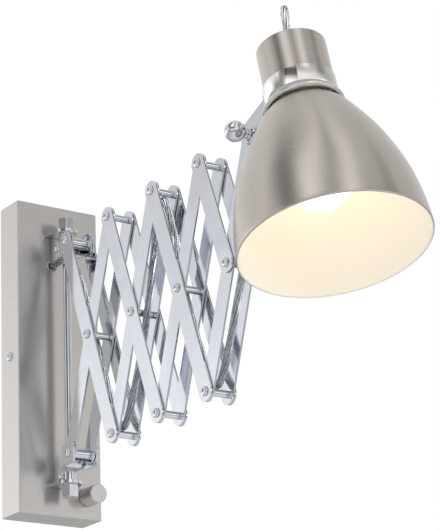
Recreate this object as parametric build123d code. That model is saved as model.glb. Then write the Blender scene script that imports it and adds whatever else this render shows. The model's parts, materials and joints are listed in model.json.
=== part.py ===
from build123d import *
import os
from math import acos, atan2, cos, hypot, pi, radians, sin, sqrt, tan

# Accordion wall lamp: a steel wall box, a scissor arm that swings on a vertical rod,
# and a tilting bell shade. Millimetres. X is right seen from the room, -Y points out
# of the wall and +Z is up. The origin is the middle of the box on the wall.
# Left is the -X side. "Outward" is the distance from the wall, so y = -outward.

# ---- wall box -------------------------------------------------------------
BOX_WIDTH = 92.0
BOX_HEIGHT = 320.0
BOX_DEPTH = 34.0
SHEET = 1.2                      # housing sheet
BOX_EDGE_RADIUS = 1.0            # folded edges of the housing
PLATE_THICK = 1.5                # mounting plate and its two ears
PLATE_MARGIN = 8.0               # plate stays this far inside the box at top and bottom
PLATE_EAR_HEIGHT = 24.0
PLATE_EAR_REACH = 25.0
FIXING_PITCH = 200.0             # between the two wall screws
FIXING_HOLE_RADIUS = 2.75
WIRE_HOLE_RADIUS = 9.0
WIRE_HOLE_HEIGHT = 40.0
SIDE_SCREW_HEAD_RADIUS = 4.5
SIDE_SCREW_HEAD_THICK = 2.6
SIDE_SCREW_LENGTH = 8.0

# ---- arm bearing ----------------------------------------------------------
ROD_RADIUS = 4.0
ROD_OUT = 51.5                   # rod axis from the wall
BRACKET_TOP_MARGIN = 34.5        # underside of the upper bracket below the box's top
BRACKET_BOTTOM_MARGIN = 30.5     # top of the lower bracket above the box's bottom
BRACKET_THICK = 3.0
BRACKET_NOSE_RADIUS = 11.5
BRACKET_ROOT_HALF_WIDTH = 15.0
BRACKET_FOOT_HEIGHT = 16.0
ROD_NUT_ACROSS_FLATS = 15.5
ROD_NUT_HEIGHT = 12.5
COLLAR_RADIUS = 6.5
COLLAR_HEIGHT = 9.6
COLLAR_SCREW_AZIMUTH = 155.0     # degrees from +X, seen from above

# ---- clevises -------------------------------------------------------------
PIVOT_OUT = 20.0                 # first pivots in front of the rod axis
TOP_PIVOT_DROP = 15.4            # first upper pivot below the upper bracket
CLEVIS_LIFT = 2.4                # lower clevis above the stop collar, as drawn
WEB_THICK = 2.25                 # upright web behind the ears
EAR_REACH = 10.0                 # ear in front of its pivot
EAR_RISE = 9.5                   # ear above its pivot
WEB_RISE = 6.0                   # web above its pivot
CLEVIS_BASE_THICK = 2.5
TOP_BASE_DROP = 11.0             # underside of the upper base below its pivot
BOTTOM_BASE_DROP = 11.4
TONGUE_RADIUS = 9.0
HUB_RADIUS = 7.0
BOTTOM_HUB_HEIGHT = 14.0
CLAMP_SCREW_RADIUS = 1.5
CLAMP_HEAD_RADIUS = 3.4
CLAMP_HEAD_THICK = 3.0
CLAMP_STANDOFF = 2.0             # screw heads stand off their hub and collar
CLAMP_AZIMUTH = 131.0            # degrees from +X, seen from above
CLAMP_RISE = 9.0                 # clamp screw above the upper base
GROOVE_DEPTH = 0.9

# ---- scissor arm ----------------------------------------------------------
FOLD_ANGLE = 20.0                # bars from the vertical, as drawn
BAR_WIDTH = 18.5
BAR_THICK = 2.0
BAR_EDGE = 0.4
TUBE_RADIUS = 3.5
FIRST_TUBE_RADIUS = 4.6          # of the two tubes in the clevises
TUBE_HALF = 9.4                  # half the length of a cross tube between inner bars
PIN_RADIUS = 2.0
PIN_GRIP = 5.0                   # length of screw inside a tube
PIN_HEAD_RADIUS = 4.2
PIN_HEAD_THICK = 2.2

# ---- head -----------------------------------------------------------------
HEAD_TILT = 13.5                 # lean of the head, shade mouth away from the wall
AXIS_OUT = 66.5                  # shade axis in front of the last pivot
COLLAR_BAND_RADIUS = 32.5
COLLAR_BAND_BOTTOM = -2.5        # heights along the shade axis from the last pivot
COLLAR_BAND_TOP = 17.0
COLLAR_WALL = 1.2
LIP_RADIUS = 36.3
LIP_BOTTOM = -15.5
CAP_TOP = 50.0
CAP_WALL = 1.2
CAP_OVERLAP = 14.0               # cap inside the collar
SHADE_TOP = -16.7
SHADE_RIM = -155.0
SHADE_WALL = 1.2
SHADE_OUTLINE = [(50.5, -41.0), (66.0, -71.0), (78.6, -109.0), (84.5, SHADE_RIM)]
SHADE_SHOULDER_SLOPE = 0.85      # drop per length outward where the shoulder starts
SHADE_RIM_SLOPE = 0.04           # outward per length of drop at the rim
SHADE_NECK_RADIUS = 33.0
HOLDER_RADIUS = 20.0
HOLDER_FLANGE_RADIUS = 24.5
HOLDER_BOTTOM = -32.5
HOLDER_TOP = 8.0
SOCKET_RADIUS = 13.6
SHADE_RING_RADIUS = 25.0
SHADE_RING_HEIGHT = 5.0
BULB_RADIUS = 30.0
BULB_LENGTH = 108.0
BULB_CAP_RADIUS = 13.2
BULB_CAP_LENGTH = 27.0
BULB_WALL = 1.0
BULB_TOP = -7.0                  # end contact of the bulb
GRIP_RADIUS = 7.0
GRIP_HEIGHT = 5.0
FORK_THICK = 2.5
FORK_HEIGHT = 17.0
SADDLE_HALF_WIDTH = 18.0
BALL_RADIUS = 9.8
BALL_STEM_RADIUS = 4.5
BALL_STEM_LENGTH = 2.5

# ---- switch and cable -----------------------------------------------------
SWITCH_INSET_X = 16.0            # switch axis from the box's right side
SWITCH_INSET_Z = 22.0            # and from its bottom
KNOB_RADIUS = 9.3
KNOB_LENGTH = 21.5
SWITCH_BUSH_RADIUS = 5.0
SWITCH_SHAFT_RADIUS = 3.0
SWITCH_BODY_SIZE = 22.0
SWITCH_BODY_DEPTH = 16.0
TERMINAL_SIZE = (34.0, 14.0, 12.0)
TERMINAL_HEIGHT = -20.0
OUTLET_X = -7.9
OUTLET_FLANGE_RADIUS = 6.0
OUTLET_NECK_RADIUS = 4.7
CABLE_RADIUS = 3.5

# Corners of the cable's route, chosen by hand. A piece ends midway between its own last
# corner and the first corner of the next piece.
CABLE_START = (-11.3, -7.5, -12.7)
CABLE_CORNERS = {
    "cable_feed": [(-7.9, -9.0, 40.0), (-7.9, -9.0, 95.2), (-7.9, -44.0, 95.2), (-7.6, -64.0, 94.2)],
    "cable_first_bar": [(0, -80.0, 73.0), (0, -103.5, -0.7)],
    "cable_bend_b1": [(0, -142.0, -98.8), (0, -158.4, -98.8), (0, -198.5, -1.3)],
    "cable_bend_t2": [(0, -220.6, 102.8), (0, -237.0, 102.8), (0, -259.1, -1.3)],
    "cable_bend_b3": [(0, -299.3, -98.8), (0, -315.7, -98.8), (0, -354.5, -0.8)],
    "cable_head": [(0, -396.5, 110.0), (12.0, -393.0, 142.0), (32.0, -392.0, 176.0), (32.0, -392.0, 210.1),
                   (22.6, -404.0, 226.0), (9.4, -420.0, 226.0), (0, -431.2, 210.1)],
}
CABLE_END = (0, -450.1, 131.0)

# ---- clearances -----------------------------------------------------------
RUNNING = 0.05                   # radial, shafts that turn or slide
THREAD = 0.03                    # radial, threads and shafts that stay put
PLAY = 0.2                       # side play of tubes, bars and screw heads
BAR_GAP = 0.4                    # between crossing bars
FIT = 0.15                       # sheet parts round each other
CABLE_GAP = 0.25                 # radial, bushes round the cable
CABLE_CLEAR = 0.4                # cable under the upper clevis base
WEB_CLEAR = 0.5                  # round bar ends in front of a web

# ---- places worked out from the sizes above -------------------------------
FACE = -BOX_DEPTH
ROD_Y = -ROD_OUT
FIRST_Y = ROD_Y - PIVOT_OUT
BRACKET_LOW = -BOX_HEIGHT / 2 + BRACKET_BOTTOM_MARGIN
BRACKET_HIGH = BOX_HEIGHT / 2 - BRACKET_TOP_MARGIN
# The arm fills the rod from the upper clevis down to the stop collar.
ARM_TOP = BRACKET_HIGH - TOP_PIVOT_DROP
ARM_BOTTOM = BRACKET_LOW + COLLAR_HEIGHT + CLEVIS_LIFT + BOTTOM_BASE_DROP
ARM_MIDDLE = (ARM_TOP + ARM_BOTTOM) / 2
HALF_RISE = (ARM_TOP - ARM_BOTTOM) / 2
BAR_PITCH = HALF_RISE / cos(radians(FOLD_ANGLE))     # half the length of a full bar
HALF_CELL = BAR_PITCH * sin(radians(FOLD_ANGLE))
SWITCH_X = BOX_WIDTH / 2 - SWITCH_INSET_X
SWITCH_Z = -BOX_HEIGHT / 2 + SWITCH_INSET_Z

INNER_IN = TUBE_HALF + PLAY
INNER_OUT = INNER_IN + BAR_THICK
OUTER_IN = INNER_OUT + BAR_GAP
OUTER_OUT = OUTER_IN + BAR_THICK
FORK_OUT = OUTER_IN + FORK_THICK

SIDES = {"left": -1, "right": 1}


def pivot(name):
    """Y and Z of a pivot such as t0, m1 or b2: row, and number counted outward."""
    row, number = name[0], int(name[1])
    steps = 2 * number - (1 if row == "m" else 0)
    rise = {"t": HALF_RISE, "m": 0.0, "b": -HALF_RISE}[row]
    return FIRST_Y - HALF_CELL * steps, ARM_MIDDLE + rise


TOP_Y, TOP_Z = pivot("t0")
BOTTOM_Y, BOTTOM_Z = pivot("b0")
HEAD_Y, HEAD_Z = pivot("t4")
TOP_BASE = TOP_Z - TOP_BASE_DROP
BOTTOM_BASE = BOTTOM_Z - BOTTOM_BASE_DROP
# Steepest bars, in radians from the vertical: the lower clevis meets the stop collar.
STEEPEST = acos((2 * HALF_RISE + CLEVIS_LIFT) / (2 * BAR_PITCH))
OUTLET_Z = TOP_BASE - CABLE_CLEAR - CABLE_RADIUS
HEAD_PLACE = Location((0, HEAD_Y, HEAD_Z), (-HEAD_TILT, 0, 0))

parts = {}


# ---- small helpers --------------------------------------------------------
def x_rod(radius, x0, x1, y=0.0, z=0.0):
    """Cylinder along X from x0 to x1."""
    return Pos((x0 + x1) / 2, y, z) * Rot(0, 90, 0) * Cylinder(radius, abs(x1 - x0))


def y_rod(radius, y0, y1, x=0.0, z=0.0):
    """Cylinder along Y from y0 to y1."""
    return Pos(x, (y0 + y1) / 2, z) * Rot(90, 0, 0) * Cylinder(radius, abs(y1 - y0))


def z_rod(radius, z0, z1, x=0.0, y=0.0):
    """Cylinder along Z from z0 to z1."""
    return Pos(x, y, (z0 + z1) / 2) * Cylinder(radius, abs(z1 - z0))


def block(x0, x1, y0, y1, z0, z1):
    """Box between three pairs of planes."""
    middle = Pos((x0 + x1) / 2, (y0 + y1) / 2, (z0 + z1) / 2)
    return middle * Box(abs(x1 - x0), abs(y1 - y0), abs(z1 - z0))


def side_rod(radius, start, end, azimuth, y, z):
    """Cylinder that points away from a vertical axis, from start to end along azimuth."""
    place = Pos(0, y, z) * Rot(0, 0, azimuth)
    return place * x_rod(radius, start, end)


def head(shape):
    """Moves a shape from the head's own frame, origin on the last pivot, to its place."""
    return HEAD_PLACE * shape


def head_axis(shape):
    """Moves a shape of revolution onto the tilted shade axis."""
    return HEAD_PLACE * Pos(0, -AXIS_OUT, 0) * shape


# ---- wall box -------------------------------------------------------------
def housing():
    half_w, half_h = BOX_WIDTH / 2, BOX_HEIGHT / 2
    outer = block(-half_w, half_w, FACE, 0, -half_h, half_h)
    outer = fillet(outer.edges().filter_by(lambda e: e.center().Y < -0.01), BOX_EDGE_RADIUS)
    inner = block(-half_w + SHEET, half_w - SHEET, FACE + SHEET, 1, -half_h + SHEET, half_h - SHEET)
    shell = outer - inner
    for level in (BRACKET_LOW - BRACKET_THICK, BRACKET_HIGH):
        slot = block(-BRACKET_ROOT_HALF_WIDTH - FIT, BRACKET_ROOT_HALF_WIDTH + FIT,
                     FACE - 1, FACE + SHEET + 1, level - FIT, level + BRACKET_THICK + FIT)
        shell -= slot
    shell -= y_rod(OUTLET_NECK_RADIUS + THREAD, FACE - 1, FACE + SHEET + 1, OUTLET_X, OUTLET_Z)
    shell -= y_rod(SWITCH_BUSH_RADIUS + THREAD, FACE - 1, FACE + SHEET + 1, SWITCH_X, SWITCH_Z)
    shell -= x_rod(PIN_RADIUS + RUNNING, -half_w - 1, half_w + 1, -BOX_DEPTH / 2, 0)
    return shell


def wall_plate():
    half_w = BOX_WIDTH / 2 - SHEET - FIT
    half_h = BOX_HEIGHT / 2 - PLATE_MARGIN
    plate = block(-half_w, half_w, -PLATE_THICK, 0, -half_h, half_h)
    for sign in SIDES.values():
        ear = block(sign * (half_w - PLATE_THICK), sign * half_w, -PLATE_EAR_REACH, -PLATE_THICK,
                    -PLATE_EAR_HEIGHT / 2, PLATE_EAR_HEIGHT / 2)
        plate += ear
        plate -= y_rod(FIXING_HOLE_RADIUS, -PLATE_THICK - 1, 1, 0, sign * FIXING_PITCH / 2)
    plate -= y_rod(WIRE_HOLE_RADIUS, -PLATE_THICK - 1, 1, 0, WIRE_HOLE_HEIGHT)
    plate -= x_rod(PIN_RADIUS + THREAD, -half_w - 1, half_w + 1, -BOX_DEPTH / 2, 0)
    return plate


def side_screws():
    outside = BOX_WIDTH / 2
    screws = []
    for sign in SIDES.values():
        dome = x_rod(SIDE_SCREW_HEAD_RADIUS, sign * outside, sign * (outside + SIDE_SCREW_HEAD_THICK),
                     -BOX_DEPTH / 2)
        far_edge = dome.edges().sort_by(lambda e: sign * e.center().X)[-1]
        dome = fillet(far_edge, SIDE_SCREW_HEAD_THICK * 0.6)
        shank = x_rod(PIN_RADIUS, sign * (outside - SIDE_SCREW_LENGTH), sign * outside, -BOX_DEPTH / 2)
        screws.append(dome + shank)
    return screws


# ---- arm bearing ----------------------------------------------------------
def rod_bracket(level, foot_direction):
    """Flat tab from inside the box to round the rod; its foot lies behind the face."""
    inside = FACE + SHEET
    back = inside + BRACKET_THICK
    root = BRACKET_ROOT_HALF_WIDTH
    nose = BRACKET_NOSE_RADIUS
    # Tangents from the root corners to the round nose.
    corner = (root, FACE)
    reach = hypot(corner[0], corner[1] - ROD_Y)
    lean = acos(nose / reach)
    bearing = atan2(corner[1] - ROD_Y, corner[0])
    touch = bearing - lean
    tangent = (nose * cos(touch), ROD_Y + nose * sin(touch))
    left_tangent = (-tangent[0], tangent[1])
    outline = Polyline((-root, back), (root, back), corner, tangent) \
        + ThreePointArc(tangent, (0, ROD_Y - nose), left_tangent) \
        + Polyline(left_tangent, (-root, FACE), (-root, back))
    tab = Pos(0, 0, level) * extrude(make_face(outline), BRACKET_THICK)
    foot_far = level + BRACKET_THICK / 2 + foot_direction * (BRACKET_FOOT_HEIGHT + BRACKET_THICK / 2)
    tab += block(-root, root, inside, back, level + BRACKET_THICK / 2, foot_far)
    tab -= z_rod(ROD_RADIUS + RUNNING, level - 1, level + BRACKET_THICK + 1, 0, ROD_Y)
    return tab


def pivot_rod():
    low = BRACKET_LOW - BRACKET_THICK - ROD_NUT_HEIGHT + 1
    high = BRACKET_HIGH + BRACKET_THICK + ROD_NUT_HEIGHT - 1
    rod = z_rod(ROD_RADIUS, low, high, 0, ROD_Y)
    rod = chamfer(rod.edges().filter_by(GeomType.CIRCLE), 0.8)
    groove_middle = TOP_BASE + CLEVIS_BASE_THICK + CLAMP_RISE
    half_groove = CLAMP_SCREW_RADIUS + PLAY
    groove = z_rod(ROD_RADIUS + 1, groove_middle - half_groove, groove_middle + half_groove, 0, ROD_Y)
    groove -= z_rod(ROD_RADIUS - GROOVE_DEPTH, groove_middle - half_groove,
                    groove_middle + half_groove, 0, ROD_Y)
    return rod - groove


def rod_nuts():
    nuts = []
    for level in (BRACKET_LOW - BRACKET_THICK - ROD_NUT_HEIGHT, BRACKET_HIGH + BRACKET_THICK):
        hexagon = RegularPolygon(ROD_NUT_ACROSS_FLATS / 2, 6, major_radius=False)
        nut = Pos(0, ROD_Y, level) * extrude(hexagon, ROD_NUT_HEIGHT)
        rounding = z_rod(ROD_NUT_ACROSS_FLATS * 0.565, level, level + ROD_NUT_HEIGHT, 0, ROD_Y)
        rounding = chamfer(rounding.edges().filter_by(GeomType.CIRCLE), 0.8)
        nut = nut & rounding
        nut -= z_rod(ROD_RADIUS + THREAD, level - 1, level + ROD_NUT_HEIGHT + 1, 0, ROD_Y)
        nuts.append(nut)
    return nuts


def stop_collar():
    level = BRACKET_LOW
    collar = z_rod(COLLAR_RADIUS, level, level + COLLAR_HEIGHT, 0, ROD_Y)
    collar = fillet(collar.edges().filter_by(GeomType.CIRCLE), 0.5)
    collar -= z_rod(ROD_RADIUS + THREAD, level - 1, level + COLLAR_HEIGHT + 1, 0, ROD_Y)
    middle = level + COLLAR_HEIGHT / 2
    collar -= side_rod(CLAMP_SCREW_RADIUS + THREAD, 0, COLLAR_RADIUS + 1, COLLAR_SCREW_AZIMUTH,
                       ROD_Y, middle)
    return collar


def clamp_screw(hub_radius, tip_radius, azimuth, z):
    """Round-headed screw through a hub; the tip stops at tip_radius from the rod axis."""
    head_start = hub_radius + CLAMP_STANDOFF
    shank = side_rod(CLAMP_SCREW_RADIUS, tip_radius, head_start + 1, azimuth, ROD_Y, z)
    knob = side_rod(CLAMP_HEAD_RADIUS, head_start, head_start + CLAMP_HEAD_THICK, azimuth, ROD_Y, z)
    knob = fillet(knob.edges().filter_by(GeomType.CIRCLE), 0.6)
    return shank + knob


# ---- clevises -------------------------------------------------------------
def clevis(pivot_z, base_z, ear_in, hub_top):
    """Channel with two ears and an upright web, and below it a tongue and a hub on the rod."""
    ear_out = ear_in + BAR_THICK
    web_front = FIRST_Y + BAR_WIDTH / 2 + WEB_CLEAR
    web_back = web_front + WEB_THICK
    shape = block(-ear_out, ear_out, web_front, web_back, base_z, pivot_z + WEB_RISE)
    for sign in SIDES.values():
        ear = block(sign * ear_in, sign * ear_out, FIRST_Y - EAR_REACH, web_back,
                    base_z, pivot_z + EAR_RISE)
        corners = ear.edges().filter_by(Axis.X).sort_by(Axis.Z)
        ear = fillet(corners[2:], EAR_REACH * 0.55)
        shape += ear
    tongue = z_rod(TONGUE_RADIUS, base_z, base_z + CLEVIS_BASE_THICK, 0, ROD_Y)
    tongue += block(-TONGUE_RADIUS, TONGUE_RADIUS, web_front, ROD_Y, base_z, base_z + CLEVIS_BASE_THICK)
    shape += tongue
    shape += z_rod(HUB_RADIUS, base_z, hub_top, 0, ROD_Y)
    shape -= z_rod(ROD_RADIUS + RUNNING, base_z - 1, hub_top + 1, 0, ROD_Y)
    shape -= x_rod(PIN_RADIUS + RUNNING, -ear_out - 1, ear_out + 1, FIRST_Y, pivot_z)
    return shape


def top_clevis():
    """Its ears lie in the inner layer, between the first down-going bars."""
    shape = clevis(TOP_Z, TOP_BASE, INNER_IN, BRACKET_HIGH - PLAY)
    hole_z = TOP_BASE + CLEVIS_BASE_THICK + CLAMP_RISE
    shape -= side_rod(CLAMP_SCREW_RADIUS + THREAD, 0, HUB_RADIUS + 1, CLAMP_AZIMUTH, ROD_Y, hole_z)
    return shape


def bottom_clevis():
    """Its ears lie in the outer layer, outside the first up-going bars."""
    return clevis(BOTTOM_Z, BOTTOM_BASE, OUTER_IN, BOTTOM_BASE + BOTTOM_HUB_HEIGHT)


# ---- scissor arm ----------------------------------------------------------
# Down-going bars D run from a top pivot outward to a bottom pivot in the outer layer,
# up-going bars U the other way in the inner layer. D4 is a half bar.
BARS = {
    "d1": ("t0", "m1", "b1"), "u1": ("b0", "m1", "t1"),
    "d2": ("t1", "m2", "b2"), "u2": ("b1", "m2", "t2"),
    "d3": ("t2", "m3", "b3"), "u3": ("b2", "m3", "t3"),
    "d4": ("t3", "m4"), "u4": ("b3", "m4", "t4"),
}

# The pivots whose tubes and screws travel with each pair of bars.
PIN_OWNERS = {
    "d1": ("t0", "m1", "b1"), "u1": ("b0", "t1"), "u2": ("m2", "t2"),
    "d3": ("m3", "b3"), "u3": ("b2", "t3"), "u4": ("m4", "t4"),
}


def bar(pivots, inside_x, sign):
    """Flat bar with round ends and a hole at each of its pivots."""
    start = Vector(0, *pivot(pivots[0]))
    end = Vector(0, *pivot(pivots[-1]))
    middle = (start + end) * 0.5
    length = (end - start).length
    flat = SlotCenterToCenter(length, BAR_WIDTH)
    low_x = inside_x if sign > 0 else -inside_x - BAR_THICK
    plane = Plane(origin=(low_x, middle.Y, middle.Z), x_dir=(end - start).normalized(), z_dir=(1, 0, 0))
    shape = extrude(plane * flat, BAR_THICK)
    shape = fillet(shape.edges().filter_by(lambda e: abs(e.tangent_at(0.5).X) < 0.5), BAR_EDGE)
    for name in pivots:
        y, z = pivot(name)
        shape -= x_rod(PIN_RADIUS + RUNNING, low_x - 1, low_x + BAR_THICK + 1, y, z)
    return shape


def head_seat(name):
    """Distance from the middle plane to the underside of a pivot screw's head."""
    return (FORK_OUT if name == "t4" else OUTER_OUT) + PLAY


def cross_tube(name):
    y, z = pivot(name)
    radius = FIRST_TUBE_RADIUS if name in ("t0", "b0") else TUBE_RADIUS
    tube = x_rod(radius, -TUBE_HALF, TUBE_HALF, y, z)
    tube = chamfer(tube.edges().filter_by(GeomType.CIRCLE), 0.3)
    return tube - x_rod(PIN_RADIUS + THREAD, -TUBE_HALF - 1, TUBE_HALF + 1, y, z)


def pivot_screw(name, sign):
    y, z = pivot(name)
    seat = head_seat(name)
    top = x_rod(PIN_HEAD_RADIUS, sign * seat, sign * (seat + PIN_HEAD_THICK), y, z)
    far_edge = top.edges().sort_by(lambda e: sign * e.center().X)[-1]
    top = fillet(far_edge, PIN_HEAD_THICK * 0.6)
    return top + x_rod(PIN_RADIUS, sign * (TUBE_HALF - PIN_GRIP), sign * (seat + 0.5), y, z)


def pivot_screws(names):
    screws = []
    for name in names:
        for side, sign in SIDES.items():
            # The clamp knob's stud takes the place of the last screw on the left.
            if name == "t4" and side == "left":
                continue
            screws.append(pivot_screw(name, sign))
    return screws


# ---- head, in its own frame: origin on the last pivot, shade axis vertical -------
def head_bracket():
    """Fork round the last pivot with a saddle bent round the neck collar."""
    inner = COLLAR_BAND_RADIUS + THREAD
    band_middle = (COLLAR_BAND_BOTTOM + COLLAR_BAND_TOP) / 2
    low, high = band_middle - FORK_HEIGHT / 2, band_middle + FORK_HEIGHT / 2
    saddle = z_rod(inner + FORK_THICK, low, high, 0, -AXIS_OUT) - z_rod(inner, low - 1, high + 1, 0, -AXIS_OUT)
    saddle = saddle & block(-SADDLE_HALF_WIDTH, SADDLE_HALF_WIDTH, -AXIS_OUT, 0, low, high)
    saddle_back = -AXIS_OUT + sqrt(inner ** 2 - OUTER_IN ** 2)
    shape = saddle
    for sign in SIDES.values():
        arm = make_face(Polyline((saddle_back - 1, low), (saddle_back - 1, high), (0, EAR_RISE),
                                 (0, -EAR_RISE), close=True))
        x0 = OUTER_IN if sign > 0 else -FORK_OUT
        plane = Plane(origin=(x0, 0, 0), x_dir=(0, 1, 0), z_dir=(1, 0, 0))
        plate = extrude(plane * arm, FORK_THICK) + x_rod(EAR_RISE, x0, x0 + FORK_THICK)
        plate -= z_rod(inner, low - 9, high + 9, 0, -AXIS_OUT)
        shape += plate
    shape -= x_rod(PIN_RADIUS + RUNNING, -FORK_OUT - 1, FORK_OUT + 1)
    return shape


def clamp_knob():
    """Round knob on a stud that screws into the last cross tube from the left."""
    stem_start = -FORK_OUT - PLAY
    ball_x = stem_start - BALL_STEM_LENGTH - BALL_RADIUS + 1.0
    ball = Pos(ball_x, 0, 0) * Sphere(BALL_RADIUS)
    stem = x_rod(BALL_STEM_RADIUS, ball_x, stem_start)
    stud = x_rod(PIN_RADIUS, stem_start - 1, -TUBE_HALF + PIN_GRIP)
    return ball + stem + stud


def neck_collar():
    outer, wall = COLLAR_BAND_RADIUS, COLLAR_WALL
    web = COLLAR_BAND_BOTTOM
    lip_curve = ThreePointArc((outer, web), (outer + 1.0, (web + LIP_BOTTOM) / 2 - 1.0), (LIP_RADIUS, LIP_BOTTOM))
    lip_back = ThreePointArc((LIP_RADIUS - wall, LIP_BOTTOM), (outer + 1.0 - wall, (web + LIP_BOTTOM) / 2 - 1.0),
                             (outer - wall, web))
    hole = HOLDER_RADIUS + FIT
    outline = lip_curve + Line((LIP_RADIUS, LIP_BOTTOM), (LIP_RADIUS - wall, LIP_BOTTOM)) + lip_back \
        + Polyline((outer - wall, web), (hole, web), (hole, web + wall), (outer - wall, web + wall),
                   (outer - wall, COLLAR_BAND_TOP), (outer, COLLAR_BAND_TOP), (outer, web))
    return revolve(make_face(Plane.XZ * outline), Axis.Z)


def lamp_cap():
    outer = COLLAR_BAND_RADIUS - COLLAR_WALL - THREAD
    bottom = COLLAR_BAND_TOP - CAP_OVERLAP
    cap = z_rod(outer, bottom, CAP_TOP)
    cap = fillet(cap.edges().filter_by(GeomType.CIRCLE).sort_by(Axis.Z)[-1], 1.0)
    cap -= z_rod(outer - CAP_WALL, bottom - 1, CAP_TOP - CAP_WALL)
    return cap - z_rod(GRIP_RADIUS * 0.7 + THREAD, CAP_TOP - CAP_WALL - 1, CAP_TOP + 1)


def cord_grip():
    neck = GRIP_RADIUS * 0.7
    grip = z_rod(GRIP_RADIUS, CAP_TOP, CAP_TOP + GRIP_HEIGHT)
    grip = fillet(grip.edges().filter_by(GeomType.CIRCLE).sort_by(Axis.Z)[-1], 1.5)
    grip += z_rod(neck, CAP_TOP - CAP_WALL - 3, CAP_TOP)
    return grip - z_rod(CABLE_RADIUS + CABLE_GAP, CAP_TOP - CAP_WALL - 5, CAP_TOP + GRIP_HEIGHT + 1)


def shade():
    outer = [(SHADE_NECK_RADIUS, SHADE_TOP)] + SHADE_OUTLINE
    inner = [(r - SHADE_WALL, z) for r, z in outer]
    inner[0] = (SHADE_NECK_RADIUS - SHADE_WALL, SHADE_TOP - SHADE_WALL)
    hole = HOLDER_RADIUS + FIT
    ends = [(1, -SHADE_SHOULDER_SLOPE), (SHADE_RIM_SLOPE, -1)]
    outside = Line((hole, SHADE_TOP), outer[0]) + Spline(*outer, tangents=ends)
    rim = Line(outer[-1], inner[-1])
    inside = Spline(*inner, tangents=ends) \
        + Polyline(inner[0], (hole, SHADE_TOP - SHADE_WALL), (hole, SHADE_TOP))
    return revolve(make_face(Plane.XZ * (outside + rim + inside)), Axis.Z)


def lampholder():
    """Lampholder body: a round shell with a shoulder between the shade and the collar web."""
    body = z_rod(HOLDER_RADIUS, HOLDER_BOTTOM, HOLDER_TOP)
    body += z_rod(HOLDER_FLANGE_RADIUS, SHADE_TOP, COLLAR_BAND_BOTTOM)
    body -= z_rod(SOCKET_RADIUS, HOLDER_BOTTOM - 1, BULB_TOP + PLAY)
    return body - z_rod(CABLE_RADIUS + CABLE_GAP, BULB_TOP, HOLDER_TOP + 1)


def shade_ring():
    top = SHADE_TOP - SHADE_WALL
    ring = z_rod(SHADE_RING_RADIUS, top - SHADE_RING_HEIGHT, top)
    return ring - z_rod(HOLDER_RADIUS + THREAD, top - SHADE_RING_HEIGHT - 1, top + 1)


def bulb_base():
    low = BULB_TOP - BULB_CAP_LENGTH
    base = z_rod(BULB_CAP_RADIUS, low, BULB_TOP - 4)
    base += Pos(0, 0, BULB_TOP - 2.5) * Cone(BULB_CAP_RADIUS, 5.0, 3.0)
    return base + z_rod(4.5, BULB_TOP - 2, BULB_TOP)


def bulb_glass():
    """Thin pear-shaped envelope: a sphere that narrows to the metal base."""
    top = BULB_TOP - BULB_CAP_LENGTH
    bottom = BULB_TOP - BULB_LENGTH
    centre = bottom + BULB_RADIUS
    neck = BULB_CAP_RADIUS + 1.5
    lean = radians(32)
    solids = []
    for wall in (0.0, BULB_WALL):
        r = BULB_RADIUS - wall
        join = (r * cos(lean), centre + r * sin(lean))
        side = ThreePointArc((0, bottom + wall), (r * cos(radians(-40)), centre + r * sin(radians(-40))), join)
        shoulder = Spline(join, (neck - wall, top - 4), (neck - wall, top),
                          tangents=[(-sin(lean), cos(lean)), (0, 1)])
        edge = Polyline((neck - wall, top), (0, top), (0, bottom + wall))
        solids.append(revolve(make_face(Plane.XZ * (side + shoulder + edge)), Axis.Z))
    return solids[0] - solids[1]


# ---- switch and box contents -----------------------------------------------
def switch_body():
    inside = FACE + SHEET
    half = SWITCH_BODY_SIZE / 2
    body = block(SWITCH_X - half, SWITCH_X + half, inside, inside + SWITCH_BODY_DEPTH,
                 SWITCH_Z - half, SWITCH_Z + half)
    # The body stays inside the box when the switch sits near an edge.
    limit_x = BOX_WIDTH / 2 - SHEET - FIT
    limit_z = -BOX_HEIGHT / 2 + SHEET + FIT
    body = body & block(-limit_x, limit_x, FACE, 0, limit_z, -limit_z)
    body += y_rod(SWITCH_BUSH_RADIUS, FACE - 3.0, inside + 1, SWITCH_X, SWITCH_Z)
    return body - y_rod(SWITCH_SHAFT_RADIUS + RUNNING, FACE - 4.0, inside + 10, SWITCH_X, SWITCH_Z)


def switch_knob():
    back = FACE - 0.5
    front = back - KNOB_LENGTH
    knob = y_rod(KNOB_RADIUS, front, back, SWITCH_X, SWITCH_Z)
    knob = fillet(knob.edges().filter_by(GeomType.CIRCLE).sort_by(Axis.Y)[0], 1.2)
    knob -= y_rod(SWITCH_BUSH_RADIUS + 0.5, back - 4.0, back + 1, SWITCH_X, SWITCH_Z)
    return knob + y_rod(SWITCH_SHAFT_RADIUS, back - 5.0, FACE + SHEET + 8.0, SWITCH_X, SWITCH_Z)


def terminal_block():
    width, height, depth = TERMINAL_SIZE
    body = block(-width / 2, width / 2, -PLATE_THICK - depth, -PLATE_THICK,
                 TERMINAL_HEIGHT - height / 2, TERMINAL_HEIGHT + height / 2)
    for column in (-1, 0, 1):
        x = column * width / 3
        body -= y_rod(2.2, -PLATE_THICK - depth - 1, -PLATE_THICK - depth + 4, x, TERMINAL_HEIGHT)
        body -= z_rod(1.8, TERMINAL_HEIGHT - height, TERMINAL_HEIGHT + height, x, -PLATE_THICK - depth / 2)
    return body


def outlet_bush():
    bush = y_rod(OUTLET_FLANGE_RADIUS, FACE - 1.5, FACE, OUTLET_X, OUTLET_Z)
    bush = fillet(bush.edges().filter_by(GeomType.CIRCLE).sort_by(Axis.Y)[0], 0.8)
    bush += y_rod(OUTLET_NECK_RADIUS, FACE, FACE + SHEET + 3, OUTLET_X, OUTLET_Z)
    return bush - y_rod(CABLE_RADIUS + CABLE_GAP, FACE - 2, FACE + SHEET + 4, OUTLET_X, OUTLET_Z)


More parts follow.
